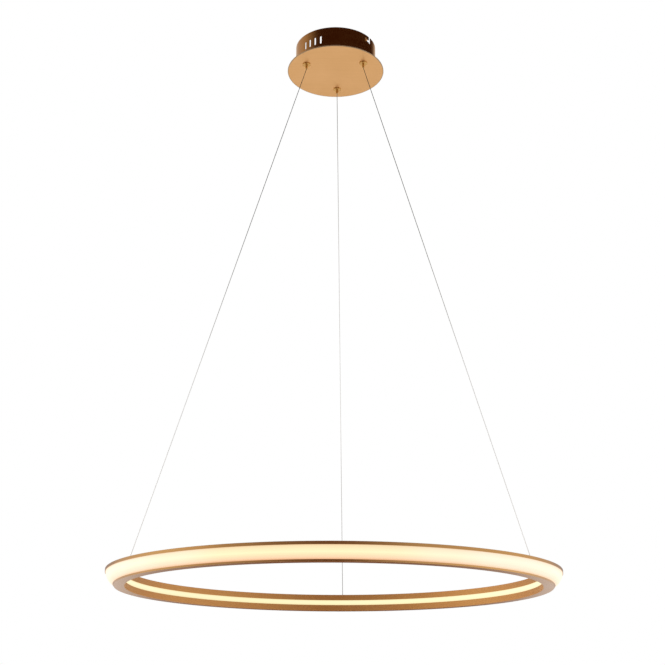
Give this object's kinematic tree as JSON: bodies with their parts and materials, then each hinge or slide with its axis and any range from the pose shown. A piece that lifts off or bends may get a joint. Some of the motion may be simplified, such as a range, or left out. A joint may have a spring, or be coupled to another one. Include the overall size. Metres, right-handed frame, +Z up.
{
  "type": "led ring chandelier",
  "caption": "Lit ring with a slanted opal outer face and a light stripe inside, hung level by fine wires from grippers in a round canopy.",
  "frame": {"origin": "centre of the ceiling bracket's top face, on the ceiling, on the axis of the canopy and the ring", "axes": "+Z up out of the ceiling face, -Y towards the picture's viewer, +X to the viewer's right"},
  "size_m": [0.8, 0.7999, 1.1035],
  "materials": {
    "gold_cover_plate": "steel plated brushed gold, fine circular brushing",
    "gold_canopy_steel": "steel plated brushed gold, satin",
    "gold_aluminium": "brushed gold anodised aluminium, brushed along its length",
    "gold_brass": "turned brass, satin gold",
    "nickel_brass": "nickel plated brass",
    "zinc_steel": "bright zinc plated steel",
    "bearing_steel": "polished hardened steel",
    "opal_acrylic": "opal acrylic, lit warm from behind",
    "opal_stripe": "opal acrylic stripe, lit warm from behind",
    "led_tape": "white coated flexible circuit tape",
    "led_phosphor": "yellow phosphor LED package",
    "coated_wire": "fine stranded wire in a clear grey sheath",
    "white_polycarbonate": "moulded white polycarbonate, fine spark texture",
    "circuit_board": "glass epoxy board with green solder mask",
    "component_black": "black moulded component bodies",
    "natural_nylon": "natural moulded nylon",
    "lead_brown": "brown silicone sleeved lead",
    "lead_green": "green silicone sleeved earth lead with a tinned tag",
    "lead_white": "white silicone sleeved lead",
    "splice_grey": "crimped insulated splice"
  },
  "bodies": {
    "ceiling": {"ceiling_bracket": "zinc_steel", "side_screws": "gold_canopy_steel"},
    "canopy": {"canopy_drum": "gold_canopy_steel", "canopy_plate": "gold_cover_plate", "plate_studs": "zinc_steel", "stud_nuts": "zinc_steel", "driver_case": "white_polycarbonate", "driver_lid": "white_polycarbonate", "driver_board": "circuit_board", "driver_components": "component_black", "terminal_block": "natural_nylon", "terminal_screws": "zinc_steel", "mains_leads": "lead_brown", "earth_lead": "lead_green", "output_leads": "lead_white", "splices": "splice_grey", "gripper_nuts": "nickel_brass", "gripper_body_left": "gold_brass", "gripper_spring_left": "bearing_steel", "wire_head_left": "coated_wire", "wire_left": "coated_wire", "gripper_body_right": "gold_brass", "gripper_spring_right": "bearing_steel", "wire_head_right": "coated_wire", "wire_right": "coated_wire", "gripper_body_far": "gold_brass", "gripper_spring_far": "bearing_steel", "wire_head_far": "coated_wire", "wire_far": "coated_wire"},
    "ring": {"ring_profile": "gold_aluminium", "outer_diffuser": "opal_acrylic", "inner_diffuser": "opal_stripe", "outer_led_tape": "led_tape", "inner_led_tape": "led_tape", "outer_led_chips": "led_phosphor", "inner_led_chips": "led_phosphor", "anchor_bushings": "gold_brass", "bushing_nuts": "nickel_brass", "contact_tags": "nickel_brass", "wire_foot_left": "coated_wire", "wire_foot_right": "coated_wire", "wire_foot_far": "coated_wire"},
    "plunger_left": {"gripper_plunger_left": "gold_brass", "gripper_balls_left": "bearing_steel"},
    "plunger_right": {"gripper_plunger_right": "gold_brass", "gripper_balls_right": "bearing_steel"},
    "plunger_far": {"gripper_plunger_far": "gold_brass", "gripper_balls_far": "bearing_steel"}
  },
  "joints": [
    {"name": "canopy_twist", "type": "hinge", "parent": "ceiling", "child": "canopy", "pos_m": [0, 0, 0], "axis": [0, 0, -1], "range_deg": [0, 8.6]},
    {"name": "ring_height", "type": "slide", "parent": "canopy", "child": "ring", "axis": [0, 0, 1], "range_m": [0, 0.6], "deforming": ["wire_left", "wire_right", "wire_far"]},
    {"name": "plunger_press_left", "type": "slide", "parent": "canopy", "child": "plunger_left", "axis": [0, 0, 1], "range_m": [0, 0.002], "stiffness_N_per_m": 1500, "springref_m": -0.003, "deforming": ["gripper_spring_left"]},
    {"name": "plunger_press_right", "type": "slide", "parent": "canopy", "child": "plunger_right", "axis": [0, 0, 1], "range_m": [0, 0.002], "stiffness_N_per_m": 1500, "springref_m": -0.003, "deforming": ["gripper_spring_right"]},
    {"name": "plunger_press_far", "type": "slide", "parent": "canopy", "child": "plunger_far", "axis": [0, 0, 1], "range_m": [0, 0.002], "stiffness_N_per_m": 1500, "springref_m": -0.003, "deforming": ["gripper_spring_far"]}
  ]
}
